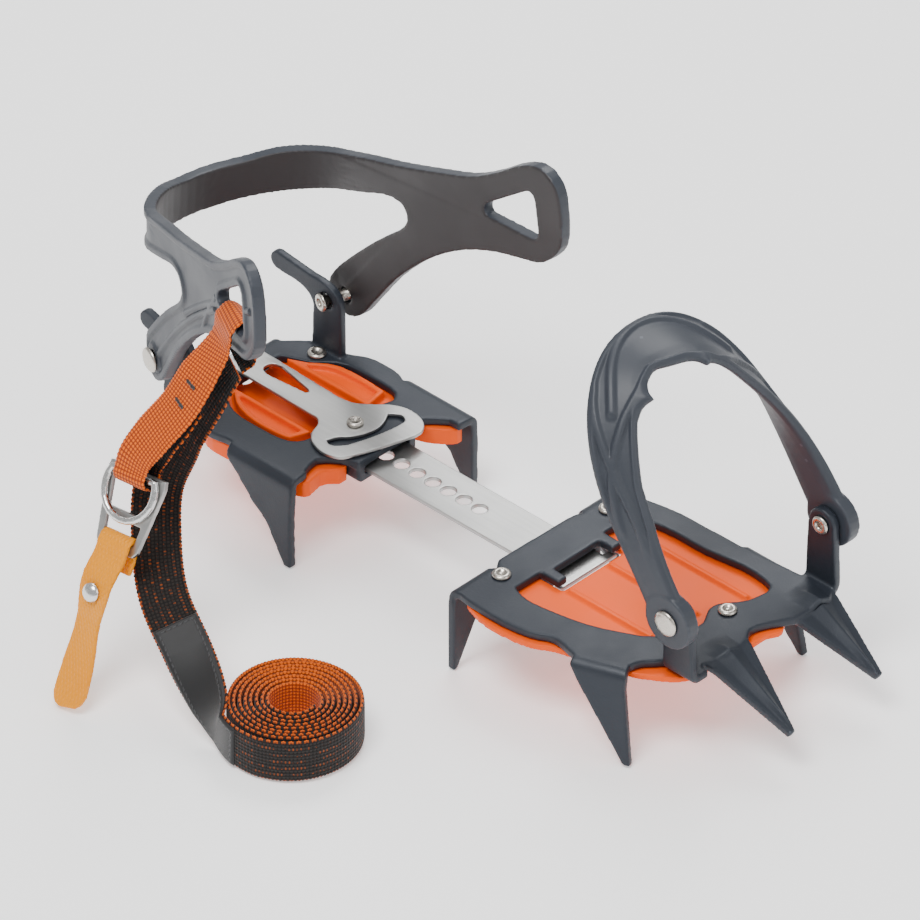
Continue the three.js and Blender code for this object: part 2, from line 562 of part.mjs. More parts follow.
// ---------------------------------------------------------------- length adjuster
const leafBottom = plateTop + gap;
const leafThick = 1.3;
const leafOutline = outline([
  [[-71, 8.4], [-70, -5.6]],
  [[-27, -6.4]],
  smooth([[-24, -6.6], [-21.4, -9], [-19.6, -13.6], [-16.4, -17], [-11, -18.9], [-6.6, -18.7], [-2.6, -16.8],
    [-0.6, -13]]),
  [[0.8, -9.6], [6.4, 8.2]],
  smooth([[6.6, 12], [4.4, 15.6], [0, 17.8], [-5.8, 18.2], [-11, 16.2], [-14.4, 13.4]]),
  smooth([[-18.3, 10], [-22, 7.8], [-27, 7]]),
]);
const crescent = outline([
  smooth([[-13, -13.4], [-11.4, -9.4], [-8.6, -6.4], [-6.4, -2], [-5.4, 3.6], [-6.6, 8.2], [-8.6, 11.6]]),
  smooth([[-5.4, 14], [-2.6, 13.4], [-1.4, 11], [-2, 4.6], [-3.6, -3], [-6, -10.4]]),
  smooth([[-8.6, -13.6], [-11, -14.4]]),
]);
const leafSlot = outline([
  [[-37, 1]],
  smooth([[-36.4, 2], [-37.4, 3]]),
  [[-53, 6.2]],
  smooth([[-56.2, 5.4], [-57.4, 3], [-56.4, 0.6], [-53, -0.4]]),
]);
function springLeaf() {
  const body = toSolid(slab(leafOutline, leafBottom, leafThick, 3));
  return toGeometry(cut(body, [slab(crescent, 30, 10, 3), slab(leafSlot, 30, 10), drill(leafRivetX, 1, 2.1, 30, 40),
    drill(pinX, 0, 2.1, 30, 40)]));
}
add('spring_leaf', springLeaf(), stainless, heel);
add('spring_leaf_rivet', turned([[0, plateUnder - gap - 1], [3, plateUnder - gap - 1], [3, plateUnder - gap],
  [1.7, plateUnder - gap], [1.7, leafBottom + leafThick + gap], [3.2, leafBottom + leafThick + gap],
  [2.8, leafBottom + leafThick + gap + 0.9], [0, leafBottom + leafThick + gap + 1.1]])
  .translate(leafRivetX, 1, 0), rivetSteel, heel);
const pinTop = leafBottom + leafThick + gap;
add('lock_pin', turned([[0, bar.top - bar.thick - 0.2], [1.9, bar.top - bar.thick - 0.2], [2.25, bar.top - 1],
  [2.25, leafBottom - gap], [1.8, leafBottom - gap + 0.1], [1.8, pinTop], [2.9, pinTop], [2.7, pinTop + 0.9],
  [0, pinTop + 1.1]]).translate(pinX, 0, 0), rivetSteel, heel);

// ---------------------------------------------------------------- heel cradle
// The cradle is drawn flat, as distance round from its middle against height above the pivots,
// and then bent round the heel.
const backPower = 1.8;
const backTable = [];
for (let i = 0, length = 0, from = vec(-cradleBack, 0, 0); i <= 60; i += 1) {
  const a = (i / 60) * Math.PI / 2;
  const at = vec(-cradleBack * Math.cos(a) ** (2 / backPower), cradleHalf * Math.sin(a) ** (2 / backPower), 0);
  length += at.distanceTo(from);
  backTable.push({ length, at });
  from = at;
}
const quarter = backTable[backTable.length - 1].length;

function planPoint(distance) {
  const side = Math.sign(distance) || 1;
  const reach = Math.abs(distance);
  let at;
  if (reach >= quarter) {
    const run = (reach - quarter) / Math.hypot(1, cradleFlare);
    at = vec(run, cradleHalf + cradleFlare * run, 0);
  } else {
    const i = Math.max(1, backTable.findIndex((row) => row.length >= reach));
    const mix = (reach - backTable[i - 1].length) / (backTable[i].length - backTable[i - 1].length);
    at = backTable[i - 1].at.clone().lerp(backTable[i].at, mix);
  }
  return vec(at.x, at.y * side, 0);
}

function cradlePlace(distance, height, depth) {
  const step = 2;
  const along = planPoint(distance + step).sub(planPoint(distance - step)).normalize();
  const outward = vec(-along.y, along.x, 0);
  const flat = planPoint(distance).addScaledVector(outward, depth);
  return flat.applyAxisAngle(vec(0, 0, 1), heelTurn).add(heelPivot).add(vec(0, 0, height));
}

function cradleShape() {
  const half = [
    [0, 46], [12, 47], [24, 50.4], [44, 55], [63, 62], [79, 67.6], [100, 76], [116, 83], [129, 91.6],
    [140, 100], [150, 104.4], [158.2, 101], [161.2, 90], [160.4, 77.5], [152, 67.6], [141, 63.4],
    [127, 58.6], [111, 50.5], [95, 38.5], [79, 22.3], [66, 4.8], [59, -4.4], [51, -8], [44, -4],
    [43.4, 4], [53, 16], [67.5, 31], [80, 42.4], [83.6, 49], [80, 53.2], [72, 52.2], [61, 47.2],
    [43.5, 39.9], [30, 35.8], [14, 32.6], [0, 31],
  ];
  const path = new THREE.SplineCurve(half.map(([x, y]) => new THREE.Vector2(x, y)));
  const points = path.getPoints(108);
  const mirrored = points.slice(1, -1).map((p) => new THREE.Vector2(-p.x, p.y)).reverse();
  const shape = new THREE.Shape([...points, ...mirrored].reverse());
  [1, -1].forEach((side) => {
    const window = new THREE.Shape();
    window.moveTo(side * 122.5, 73.5);
    window.quadraticCurveTo(side * 122.5, 75.4, side * 125, 77.4);
    window.lineTo(side * 143, 91.4);
    window.quadraticCurveTo(side * 147, 94, side * 148, 90);
    window.lineTo(side * 149.6, 79);
    window.quadraticCurveTo(side * 149.8, 75, side * 146, 74.2);
    window.lineTo(side * 125, 71.6);
    window.quadraticCurveTo(side * 122.5, 71.4, side * 122.5, 73.5);
    shape.holes.push(window);
    const pivot = new THREE.Path();
    pivot.absarc(side * quarter, 0, 3, 0, Math.PI * 2, false);
    shape.holes.push(pivot);
  });
  return shape;
}

// Splits the flat piece's long triangles, so that it can follow the bend without facets.
function splitAlong(geometry, limit, reach) {
  const merged = mergeVertices(strip(geometry), 1e-4);
  const flat = merged.attributes.position;
  const points = Array.from({ length: flat.count }, (_, i) => vec(flat.getX(i), flat.getY(i), flat.getZ(i)));
  const bent = (p) => THREE.MathUtils.clamp(p.x, -reach, reach);
  let faces = [];
  for (let i = 0; i < merged.index.count; i += 3) faces.push([0, 1, 2].map((k) => merged.index.getX(i + k)));
  for (let middles = null; !middles || middles.size > 0;) {
    middles = new Map();
    const middle = (a, b) => {
      if (Math.abs(bent(points[a]) - bent(points[b])) <= limit) return -1;
      const key = `${Math.min(a, b)} ${Math.max(a, b)}`;
      if (!middles.has(key)) {
        middles.set(key, points.length);
        points.push(points[a].clone().add(points[b]).multiplyScalar(0.5));
      }
      return middles.get(key);
    };
    faces = faces.flatMap((face) => {
      const splits = face.map((a, i) => middle(a, face[(i + 1) % 3]));
      const count = splits.filter((m) => m >= 0).length;
      if (count === 0) return [face];
      // turn the triangle so that its unsplit edges come last
      let turn = 0;
      while (splits[turn] < 0 || (count === 2 && splits[(turn + 2) % 3] >= 0)) turn += 1;
      const [a, b, c] = [0, 1, 2].map((k) => face[(turn + k) % 3]);
      const [ab, bc, ca] = [0, 1, 2].map((k) => splits[(turn + k) % 3]);
      if (count === 1) return [[a, ab, c], [ab, b, c]];
      if (count === 2) return [[ab, b, bc], [a, ab, bc], [a, bc, c]];
      return [[a, ab, ca], [ab, b, bc], [ca, bc, c], [ab, bc, ca]];
    });
  }
  const result = new THREE.BufferGeometry();
  result.setAttribute('position', new THREE.Float32BufferAttribute(points.flatMap((p) => [p.x, p.y, p.z]), 3));
  result.setIndex(faces.flat());
  return result;
}

function heelCradle() {
  const flat = new THREE.ExtrudeGeometry(cradleShape(), { depth: cradleThick, bevelEnabled: false, curveSegments: 6 });
  const body = splitAlong(flat, 6, quarter);
  const position = body.attributes.position;
  for (let i = 0; i < position.count; i += 1) {
    const depth = cradleThick / 2 - position.getZ(i);
    const p = cradlePlace(position.getX(i), position.getY(i), depth);
    position.setXYZ(i, p.x, p.y, p.z);
  }
  return body;
}
add('heel_cradle', heelCradle(), greyPlastic, heel);

// Each heel pivot: head outside the cradle arm, shank along the hinge line, collar inside the ear.
function heelPivotRivet(side) {
  const inner = heelEarHalf - steel / 2 - 1.1;
  const outer = cradleHalf + cradleThick / 2 + 0.9;
  const body = pivotRivet(0, outer - inner, 4.4);
  body.rotateX(side > 0 ? Math.PI / 2 : -Math.PI / 2).translate(0, side * outer, 0);
  return body.rotateZ(heelTurn).translate(heelPivot.x, heelPivot.y, heelPivot.z);
}
add('heel_cradle_rivet_near', heelPivotRivet(-1), rivetSteel, heel);
add('heel_cradle_rivet_far', heelPivotRivet(1), rivetSteel, heel);

// ---------------------------------------------------------------- strap
const level = vec(0.99, -0.05, 0.05);
const facing = vec(0.72, 0.69, 0);
const upright = vec(0, 0, 1);
const stop = (x, y, z, wide, width = webbing.width) => ({ at: vec(x, y, z), wide, width });

// The strap hangs on the lower bar of the cradle's near window.
const hangAt = -136;
const hangWide = cradlePlace(hangAt - 10, 74.6, 0).sub(cradlePlace(hangAt + 10, 72, 0)).normalize();
const lap = cradleThick / 2 + gap + webbing.thick / 2 + 0.6;
const lapStop = (height, depth) => ({ at: cradlePlace(hangAt, height, depth), wide: hangWide, width: webbing.width });
const wireAt = vec(-8.2, -107.9, 73);
const hang = vec(0.09, -0.5, -0.86).normalize();
const buckleAcross = vec(0.96, 0.12, 0.2);
buckleAcross.addScaledVector(hang, -buckleAcross.dot(hang)).normalize();
const buckleFace = new THREE.Vector3().crossVectors(buckleAcross, hang);
const buckleAt = (inward, down) => wireAt.clone().addScaledVector(buckleFace, inward).addScaledVector(hang, down);
const buckleStop = (inward, down, width = 14) => ({ at: buckleAt(inward, down), wide: buckleAcross, width });

// Front layer: over the bar, down to the ring, round its wire, and back up behind itself.
add('strap_front', ribbon([
  lapStop(56, 0.2), lapStop(58.6, -lap + 0.6), lapStop(66, -lap), lapStop(72.6, -lap), lapStop(75.6, 0),
  lapStop(72.6, lap), lapStop(66, lap + 1.4), stop(4, -89.4, 110, level), stop(1.4, -96, 99.6, level),
  stop(-4.4, -103.2, 88, level), stop(-7.8, -107.6, 80, buckleAcross, 14.6), buckleStop(-2.4, -1.6),
  buckleStop(-2.3, 0.9), buckleStop(-0.8, 2.7), buckleStop(1.8, 3), buckleStop(4.4, 2.4), buckleStop(5, 0),
  buckleStop(4.4, -5),
  stop(-4.6, -99.6, 85.6, level), stop(-0.6, -96.6, 93, level), stop(2.2, -92.6, 100.6, level),
], webbing.thick, 48), orangeWebbing, heel);

// Back layer: from the underside of the bar to the ground, running onto the roll.
const tailStops = [
  { at: cradlePlace(hangAt, 54, 1), wide: hangWide, width: webbing.width },
  stop(3.6, -82.5, 100, level), stop(-3.5, -87.5, 83, level),
  stop(-10.6, -94, 61, facing), stop(-3.5, -102.7, 46, facing), stop(8, -111.2, 34, vec(0.66, 0.74, 0.1)),
  stop(25, -117.4, 23.6, vec(0.47, 0.81, 0.36)), stop(41.4, -123.4, 14.4, vec(0.25, 0.45, 0.85)),
  stop(49.2, -126.8, 9.8, upright, 16), stop(57, -129, 8.7, upright, 16), stop(66, -129, 8.7, upright, 16),
  stop(77, -123.9, 8.7, upright, 16),
];
add('strap_tail', ribbon(tailStops, webbing.thick, 40), blackWebbing, heel);

// Blank cloth label sewn on the outside of the tail, just above the roll.
const labelPart = { part: [0.5, 0.84], offset: 1.5, narrower: 1 };
add('strap_label', ribbon(tailStops, 0.8, 16, labelPart), labelCloth, heel);

add('strap_roll', turned([[rollInner, 0], [rollOuter, 0], [rollOuter, webbing.width],
  [rollInner, webbing.width], [rollInner, 0]], 36).translate(rollCentre.x, rollCentre.y, 0), blackWebbing, heel);

// ---------------------------------------------------------------- buckle
const ringCentre = buckleAt(0, 5);
const buckleFrame = new THREE.Matrix4().makeBasis(buckleAcross, hang, buckleFace);

function dRing() {
  const wire = 1.35;
  const path = [];
  for (let i = 0; i < 24; i += 1) {
    const a = (i / 24) * Math.PI * 2;
    path.push(vec(Math.cos(a) * 10.6, Math.max(-5, Math.sin(a) * 10.6), 0));
  }
  const rings = path.map((p, i) => {
    const tangent = path[(i + 1) % 24].clone().sub(path[(i + 23) % 24]).normalize();
    const side = new THREE.Vector3().crossVectors(tangent, vec(0, 0, 1));
    return section(p, vec(0, 0, 1), side, wire * 2, wire * 2, 8, 1);
  });
  return loft(rings, true).applyMatrix4(buckleFrame).translate(ringCentre.x, ringCentre.y, ringCentre.z);
}
add('d_ring', dRing(), stainless, heel);

function bucklePlate() {
  const plate = outline([[[-12, 0], [12, 0], [12.6, 3], [9, 26], [7.4, 28], [-7.4, 28], [-9, 26], [-12.6, 3]]]);
  const opening = (low, high) => {
    const hole = new THREE.Path();
    const half = (v) => 9.6 - (v - 3) * 0.14;
    hole.moveTo(-half(low), low);
    hole.lineTo(half(low), low);
    hole.lineTo(half(high), high);
    hole.lineTo(-half(high), high);
    hole.closePath();
    return hole;
  };
  plate.holes.push(opening(3.2, 14.5), opening(17.5, 24.5));
  const at = buckleAt(1.65, -1.6);
  return slab(plate, 0, 1.9).applyMatrix4(buckleFrame).translate(at.x, at.y, at.z);
}
add('buckle_plate', bucklePlate(), stainless, heel);

// Pull tab: a soft moulded tongue, folded over the buckle's lower bar and riveted to itself.
add('pull_tab', ribbon([
  buckleStop(5.6, 33, 12), buckleStop(5.2, 28.4, 13), buckleStop(5.1, 24.6, 13), buckleStop(4.4, 21.8, 13),
  buckleStop(2.6, 20.8, 13), buckleStop(0.8, 21.8, 13), buckleStop(0.1, 24.6, 13), buckleStop(0, 28, 13),
  stop(-6, -127.4, 42, level, 13.5),
  stop(-6, -129.8, 36, level, 12.6), stop(-6, -132.4, 26.4, level, 9.6), stop(-5, -137.6, 14.6, level, 13.2),
  stop(-3.6, -143.2, 5.4, level, 14.4), stop(-2.6, -145.6, 2.6, level, 11), stop(-2.2, -146.6, 1.6, level, 6),
], 1.6, 30), tabPlastic, heel);
const rivetAcross = vec(0, -0.93, 0.37).normalize();
add('pull_tab_rivet', turned([[0, 0], [3.4, 0], [2.9, 1.1], [1.5, 1.9], [0, 2.1]], 16)
  .applyQuaternion(new THREE.Quaternion().setFromUnitVectors(vec(0, 0, 1), rivetAcross))
  .translate(-6, -130.5, 38.2), rivetSteel, heel);

export default object;
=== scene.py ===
"""The looks of a strap-on crampon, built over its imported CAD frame.

Points are written in millimetres, in the CAD model's own coordinates, and metres() brings them into the frame.
"""

import json
import math

import bpy
import numpy as np
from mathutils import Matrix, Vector, kdtree


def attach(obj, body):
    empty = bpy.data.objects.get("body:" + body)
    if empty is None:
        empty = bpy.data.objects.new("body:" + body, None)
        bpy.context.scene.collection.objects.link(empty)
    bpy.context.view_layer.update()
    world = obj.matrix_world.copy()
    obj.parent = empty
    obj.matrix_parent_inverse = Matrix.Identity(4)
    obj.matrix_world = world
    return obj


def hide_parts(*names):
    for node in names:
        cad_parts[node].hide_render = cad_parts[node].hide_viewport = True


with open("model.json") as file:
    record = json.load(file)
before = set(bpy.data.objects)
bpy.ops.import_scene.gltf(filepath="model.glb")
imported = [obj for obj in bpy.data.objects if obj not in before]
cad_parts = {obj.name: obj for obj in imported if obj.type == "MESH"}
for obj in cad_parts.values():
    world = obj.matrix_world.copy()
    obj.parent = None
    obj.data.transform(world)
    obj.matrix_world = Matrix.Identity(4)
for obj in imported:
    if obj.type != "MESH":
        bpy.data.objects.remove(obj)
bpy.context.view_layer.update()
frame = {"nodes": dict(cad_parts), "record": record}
coarse = 1.0
cad_shift = np.array([-50.65, 17.07, 0.0])   # the CAD model's own move to its origin
body_of = {node: body for body, nodes in frame["record"]["behaviour"]["bodies"].items() for node in nodes}


def metres(points):
    return (np.asarray(points, float) + cad_shift) / 1000


def smoothstep(x):
    x = np.clip(x, 0, 1)
    return x * x * (3 - 2 * x)


# ---------------------------------------------------------------- camera and light
def aim(azimuth, elevation):
    """The direction from the object to a camera or lamp, by degrees round from the front and up."""
    a, e = math.radians(azimuth), math.radians(elevation)
    return np.array([math.sin(a) * math.cos(e), -math.cos(a) * math.cos(e), math.sin(e)])


def put(data, name, place=(0, 0, 0), turn=(0, 0, 0)):
    thing = bpy.data.objects.new(name, data)
    thing.location = place
    thing.rotation_euler = turn
    bpy.context.scene.collection.objects.link(thing)
    return thing


camera_azimuth, camera_elevation, camera_distance = 43.88, 36.4, 4.0524
lens = bpy.data.cameras.new("camera")
lens.lens = 469.6
lens.sensor_width = 36
lens.clip_end = 30
looked_at = metres([-5.58, 43.2, 0])
bpy.context.scene.camera = put(
    lens, "camera", looked_at + aim(camera_azimuth, camera_elevation) * camera_distance,
    (math.radians(90 - camera_elevation), 0, math.radians(camera_azimuth)))


def area_light(name, azimuth, elevation, away, size, power):
    data = bpy.data.lights.new(name, "AREA")
    data.shape = "DISK"
    data.size = size
    data.energy = power
    direction = aim(azimuth, elevation)
    lamp = put(data, name, np.array([0, 0, 0.05]) + direction * away)
    lamp.rotation_euler = Vector(direction).to_track_quat("Z", "Y").to_euler()


area_light("key", 5, 66, 1.6, 0.8, 24)
area_light("fill", 100, 30, 1.7, 1.1, 7)
area_light("rim", 215, 52, 1.6, 0.8, 15)
world = bpy.data.worlds.new("studio")
bpy.context.scene.world = world
world.use_nodes = True
world.node_tree.nodes["Background"].inputs["Color"].default_value = (1, 1, 1, 1)
world.node_tree.nodes["Background"].inputs["Strength"].default_value = 0.62


# ---------------------------------------------------------------- materials
rib_pitch, yarn_pitch = 1.25, 1.3   # the webbing's weave, in millimetres


class Shader:
    """A node material, written as nested calls. A value is a number, a colour or another node's output."""

    def __init__(self, name, **surface):
        self.material = bpy.data.materials.new(name)
        self.material.use_nodes = True
        self.tree = self.material.node_tree
        self.bsdf = self.tree.nodes["Principled BSDF"]
        self.set(**surface)

    def give(self, socket, value):
        if isinstance(value, bpy.types.NodeSocket):
            self.tree.links.new(value, socket)
        elif isinstance(value, tuple) and len(value) == 3 and socket.type == "RGBA":
            socket.default_value = (*value, 1)
        else:
            socket.default_value = value

    def set(self, **surface):
        for name, value in surface.items():
            self.give(self.bsdf.inputs[name.replace("_", " ")], value)

    def node(self, kind, inputs, output=0, **options):
        made = self.tree.nodes.new("ShaderNode" + kind)
        for name, value in options.items():
            setattr(made, name, value)
        for key, value in inputs.items():
            self.give(made.inputs[key], value)
        return made.outputs[output]

    def where(self, scale=(1, 1, 1)):
        coordinates = self.node("TexCoord", {}, "Object")
        return self.node("Mapping", {"Vector": coordinates, "Scale": scale})

    def noise(self, scale, detail=4, stretch=(1, 1, 1), rough=0.5):
        return self.node("TexNoise", {"Vector": self.where(stretch), "Scale": scale, "Detail": detail,
                                      "Roughness": rough})

    def calc(self, operation, a, b=0.0):
        return self.node("Math", {0: a, 1: b}, operation=operation)

    def wave(self, value, period):
        """0 to 1 and back over each period, 1 at zero."""
        cosine = self.calc("COSINE", self.calc("MULTIPLY", value, 2 * math.pi / period))
        return self.node("Math", {0: cosine, 1: 0.5, 2: 0.5}, operation="MULTIPLY_ADD")

    def step(self, value, low, high, to_low=0.0, to_high=1.0):
        return self.node("MapRange", {"Value": value, "From Min": low, "From Max": high, "To Min": to_low,
                                      "To Max": to_high}, interpolation_type="SMOOTHSTEP")

    def mix(self, amount, a, b):
        made = self.tree.nodes.new("ShaderNodeMix")
        made.data_type = "RGBA"
        for socket, value in zip((made.inputs[0], made.inputs[6], made.inputs[7]), (amount, a, b)):
            self.give(socket, value)
        return made.outputs[2]

    def attribute(self, name):
        return self.node("Attribute", {}, "Fac", attribute_name=name)

    def bump(self, *layers):
        """Each layer is (height, distance in metres)."""
        normal = None
        for height, distance in layers:
            inputs = {"Height": height, "Distance": distance, "Strength": 1.0}
            if normal is not None:
                inputs["Normal"] = normal
            normal = self.node("Bump", inputs)
        self.set(Normal=normal)
        return self.material


def painted_steel():
    s = Shader("painted_steel", Metallic=0.2, Specular_IOR_Level=0.38)
    cloud = s.noise(55, 3)
    edge = s.step(s.node("NewGeometry", {}, "Pointiness"), 0.53, 0.62)
    # sharp edges are painted lighter grey-blue, broken up by noise: partly edge wear, partly a painted
    # highlight
    edge_wear_and_highlight = s.calc("MULTIPLY", edge, s.step(s.noise(420, 6), 0.42, 0.62))
    tone = s.mix(cloud, (0.018, 0.0225, 0.031), (0.025, 0.030, 0.040))
    s.set(Base_Color=s.mix(edge_wear_and_highlight, tone, (0.075, 0.085, 0.105)),
          Roughness=s.step(cloud, 0.3, 0.7, 0.40, 0.50))
    return s.bump((s.noise(1500, 2), 0.00004), (s.noise(180, 2), 0.00008))


def grey_plastic():
    """Matte moulded plastic, lighter along its edges and browner where the field inner is 1."""
    s = Shader("grey_plastic", Specular_IOR_Level=0.4)
    cloud = s.noise(40, 3)
    edge = s.step(s.node("NewGeometry", {}, "Pointiness"), 0.52, 0.6)
    inner = s.attribute("inner")
    tone = s.mix(cloud, (0.026, 0.031, 0.041), (0.034, 0.039, 0.050))
    outer = s.mix(edge, tone, (0.060, 0.068, 0.085))
    s.set(Base_Color=s.mix(inner, outer, (0.022, 0.0185, 0.020)),
          Roughness=s.step(cloud, 0.3, 0.7, 0.42, 0.52))
    return s.bump((s.noise(2600, 3), 0.00003))


def orange_plastic():
    s = Shader("orange_plastic", Specular_IOR_Level=0.16)
    cloud = s.noise(60, 3)
    s.set(Base_Color=s.mix(cloud, (0.84, 0.082, 0.0), (0.90, 0.098, 0.0)),
          Roughness=s.step(cloud, 0.3, 0.7, 0.36, 0.46))
    return s.bump((s.noise(1900, 2), 0.00002))


def brushed_steel():
    s = Shader("brushed_steel", Metallic=0.95)
    grain = s.noise(700, 6, (0.04, 1, 1), 0.65)
    smear = s.noise(30, 3)
    s.set(Base_Color=s.mix(grain, (0.36, 0.36, 0.355), (0.52, 0.52, 0.51)),
          Roughness=s.step(smear, 0.3, 0.7, 0.30, 0.42))
    return s.bump((grain, 0.00003))


def bright_steel(name, tint, rough):
    s = Shader(name, Metallic=1.0)
    marks = s.noise(900, 5)
    s.set(Base_Color=s.mix(marks, tuple(0.8 * c for c in tint), tint),
          Roughness=s.step(marks, 0.3, 0.7, rough, rough + 0.14))
    return s.bump((marks, 0.00002))


def webbing_cloth():
    """The strap's fields are u across it and v along it, in millimetres, side, which is 1 on the orange face,
    and rim, which is 1 along both edges."""
    s = Shader("webbing", Roughness=0.85, Sheen_Weight=0.12, Sheen_Roughness=0.5, Specular_IOR_Level=0.25)
    u, v, side, rim = (s.attribute(name) for name in ("u", "v", "side", "rim"))
    rib = s.wave(v, rib_pitch)
    yarn = s.wave(u, yarn_pitch)
    fuzz = s.noise(2600, 4)
    lit = s.step(s.calc("MULTIPLY", rib, yarn), 0.0, 0.45)
    orange = s.mix(lit, (0.30, 0.036, 0.0), (0.86, 0.150, 0.0))
    black = s.mix(lit, (0.003, 0.0025, 0.0025), (0.017, 0.0135, 0.012))
    offset_rib = s.wave(s.calc("ADD", v, rib_pitch / 2), rib_pitch)
    fleck = s.calc("MULTIPLY", s.step(s.wave(u, 2 * yarn_pitch), 0.6, 0.85), s.step(offset_rib, 0.5, 0.85))
    fleck = s.calc("MULTIPLY", fleck, s.step(s.noise(500, 3), 0.44, 0.62))
    black = s.mix(s.calc("MULTIPLY", fleck, 0.55), black, (0.45, 0.085, 0.004))
    edge = s.calc("MULTIPLY", rim, s.step(s.wave(v, 2 * rib_pitch), 0.3, 0.5))
    cloth = s.mix(side, s.mix(edge, black, (0.72, 0.115, 0.0)), orange)
    s.set(Base_Color=s.mix(s.calc("MULTIPLY", fuzz, 0.2), cloth, (0.012, 0.007, 0.005)))
    return s.bump((yarn, 0.00012), (fuzz, 0.00006))


def satin_label():
    """A blank woven label with a line of stitches just inside its edges. end is the distance to an edge."""
    s = Shader("satin_label", Roughness=0.5, Sheen_Weight=0.15, Specular_IOR_Level=0.35)
    u, v, end = s.attribute("u"), s.attribute("v"), s.attribute("end")
    border = s.step(s.calc("ABSOLUTE", s.calc("SUBTRACT", end, 1.6)), 0.18, 0.34, 1.0, 0.0)
    dashes = s.step(s.wave(s.calc("ADD", v, u), 2.1), 0.3, 0.5)
    stitch = s.calc("MULTIPLY", border, dashes)
    weave = s.calc("MULTIPLY", s.wave(u, 0.34), s.wave(v, 0.34))
    ground = s.mix(weave, (0.0045, 0.0045, 0.005), (0.012, 0.012, 0.0135))
    s.set(Base_Color=s.mix(stitch, ground, (0.028, 0.028, 0.031)))
    return s.bump((weave, 0.00003), (s.calc("SUBTRACT", stitch, s.calc("MULTIPLY", border, 0.5)), 0.00025))


def diamond_rubber():
    """Soft yellow-orange plastic with a fine raised diamond pattern, 1.5 mm across."""
    s = Shader("tab_plastic", Roughness=0.32, Specular_IOR_Level=0.22)
    x, z = (s.node("SeparateXYZ", {0: s.where((1000, 1000, 1000))}, axis) for axis in (0, 2))
    a = s.wave(s.calc("ADD", x, s.calc("MULTIPLY", z, 0.6)), 1.5)
    b = s.wave(s.calc("SUBTRACT", x, s.calc("MULTIPLY", z, 0.6)), 1.5)
    s.set(Base_Color=s.mix(s.noise(40, 3), (0.78, 0.255, 0.0), (0.84, 0.310, 0.0)))
    return s.bump((s.calc("MULTIPLY", a, b), 0.00022))


paint = painted_steel()
moulded = grey_plastic()
orange = orange_plastic()
stainless = brushed_steel()
rivet_steel = bright_steel("rivet_steel", (0.62, 0.58, 0.52), 0.24)
ring_steel = bright_steel("ring_steel", (0.74, 0.74, 0.73), 0.16)
cloth = webbing_cloth()
label_cloth = satin_label()
tab_plastic = diamond_rubber()
thread_shader = Shader("thread", Base_Color=(0.012, 0.011, 0.011), Roughness=0.8, Sheen_Weight=0.3)
thread = thread_shader.bump((thread_shader.noise(3000, 3), 0.00005))


# ---------------------------------------------------------------- mesh tools
def mesh_object(name, points, faces, material, smooth=True, **fields):
    """A mesh from points in millimetres, with a number at each point for every named field."""
    mesh = bpy.data.meshes.new(name)
    mesh.from_pydata([tuple(p) for p in metres(points)], [], faces)
    mesh.materials.append(material)
    mesh.polygons.foreach_set("use_smooth", [smooth] * len(mesh.polygons))
    for field, values in fields.items():
        mesh.attributes.new(field, "FLOAT", "POINT").data.foreach_set("value", np.asarray(values, np.float32))
    return put(mesh, name)


def tube_faces(rows, size):
    """Quads between rows of points that each go once round, and a cap at each end."""
    faces = [(i * size + k, i * size + (k + 1) % size, (i + 1) * size + (k + 1) % size, (i + 1) * size + k)
             for i in range(rows - 1) for k in range(size)]
    return faces + [tuple(reversed(range(size))), tuple(range((rows - 1) * size, rows * size))]


def stand_in(piece, *nodes):
    """The piece is shown for these CAD nodes, and rides on their body."""
    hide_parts(*nodes)
    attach(piece, body_of[nodes[0]])
    return piece


def formed(node, material, voxel=0.5, rounds=4, shape=None):
    """A CAD part with its hard edges rounded, over voxels of that many millimetres, and then shaped by a
    function that takes points and normals and gives new points and the field inner."""
    piece = put(frame["nodes"][node].data.copy(), node + "_skin")
    remesh = piece.modifiers.new("even", "REMESH")
    remesh.mode = "VOXEL"
    remesh.voxel_size = voxel * coarse / 1000
    soften = piece.modifiers.new("soften", "SMOOTH")
    soften.iterations = max(1, round(rounds / coarse))
    soften.factor = 0.5
    baked = bpy.data.meshes.new_from_object(piece.evaluated_get(bpy.context.evaluated_depsgraph_get()))
    piece.modifiers.clear()
    piece.data = baked
    baked.name = piece.name
    baked.materials.clear()
    baked.materials.append(material)
    if shape is not None:
        points = np.empty(len(baked.vertices) * 3, np.float32)
        baked.vertices.foreach_get("co", points)
        normals = np.empty(len(baked.vertices) * 3, np.float32)
        baked.vertices.foreach_get("normal", normals)
        points = points.reshape(-1, 3) * 1000 - cad_shift
        moved, inner = shape(points.astype(float), normals.reshape(-1, 3).astype(float))
        baked.vertices.foreach_set("co", metres(moved).astype(np.float32).ravel())
        baked.attributes.new("inner", "FLOAT", "POINT").data.foreach_set("value", inner.astype(np.float32))
    baked.polygons.foreach_set("use_smooth", [True] * len(baked.polygons))
    baked.update()
    return stand_in(piece, node)


def spun(node, material, profile, base, axis, sides=40):
    """A turned piece: profile is (radius, height) from one end of its axis to the other."""
    axis = np.asarray(axis, float) / np.linalg.norm(axis)
    first = np.cross(axis, [0.3, 0.9, 0.2])
    first /= np.linalg.norm(first)
    second = np.cross(axis, first)
    round_once = [2 * math.pi * k / sides for k in range(sides)]
    spokes = [math.cos(a) * first + math.sin(a) * second for a in round_once]
    points = [np.asarray(base) + axis * height + radius * spoke
              for radius, height in profile for spoke in spokes]
    faces = tube_faces(len(profile), sides)
    return stand_in(mesh_object(node + "_turned", points, faces, material), node)


# ---------------------------------------------------------------- pressed plates
spine_roots = ((-4.6, 152.0), (35.8, 153.0))   # y and x where each front point's spine begins
spine_tip, spine_height, spine_half = 190.5, 2.0, 7.0


